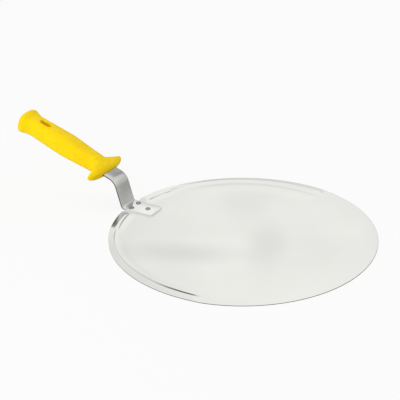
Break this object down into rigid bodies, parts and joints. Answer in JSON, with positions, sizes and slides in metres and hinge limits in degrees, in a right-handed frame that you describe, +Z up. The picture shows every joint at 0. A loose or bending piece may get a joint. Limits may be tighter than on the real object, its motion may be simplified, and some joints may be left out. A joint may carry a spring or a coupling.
{
  "type": "pizza peel",
  "caption": "Round steel pizza peel with a low half rim, a cranked flat shank riveted to the blade, and a moulded plastic grip with a winged guard and a hang slot.",
  "frame": {"origin": "centre of the round blade, on the flat underside that it rests on", "axes": "+X towards the blade's free front edge, so that the grip points along -X, and +Z up, square to the blade"},
  "size_m": [0.4483, 0.2984, 0.0904],
  "materials": {
    "blade_steel": "satin",
    "shank_steel": "satin",
    "rivet_steel": "satin",
    "grip_plastic": "semi-gloss"
  },
  "bodies": {
    "root": {"blade": "blade_steel", "shank": "shank_steel", "rivets": "rivet_steel", "grip": "grip_plastic"}
  },
  "joints": []
}
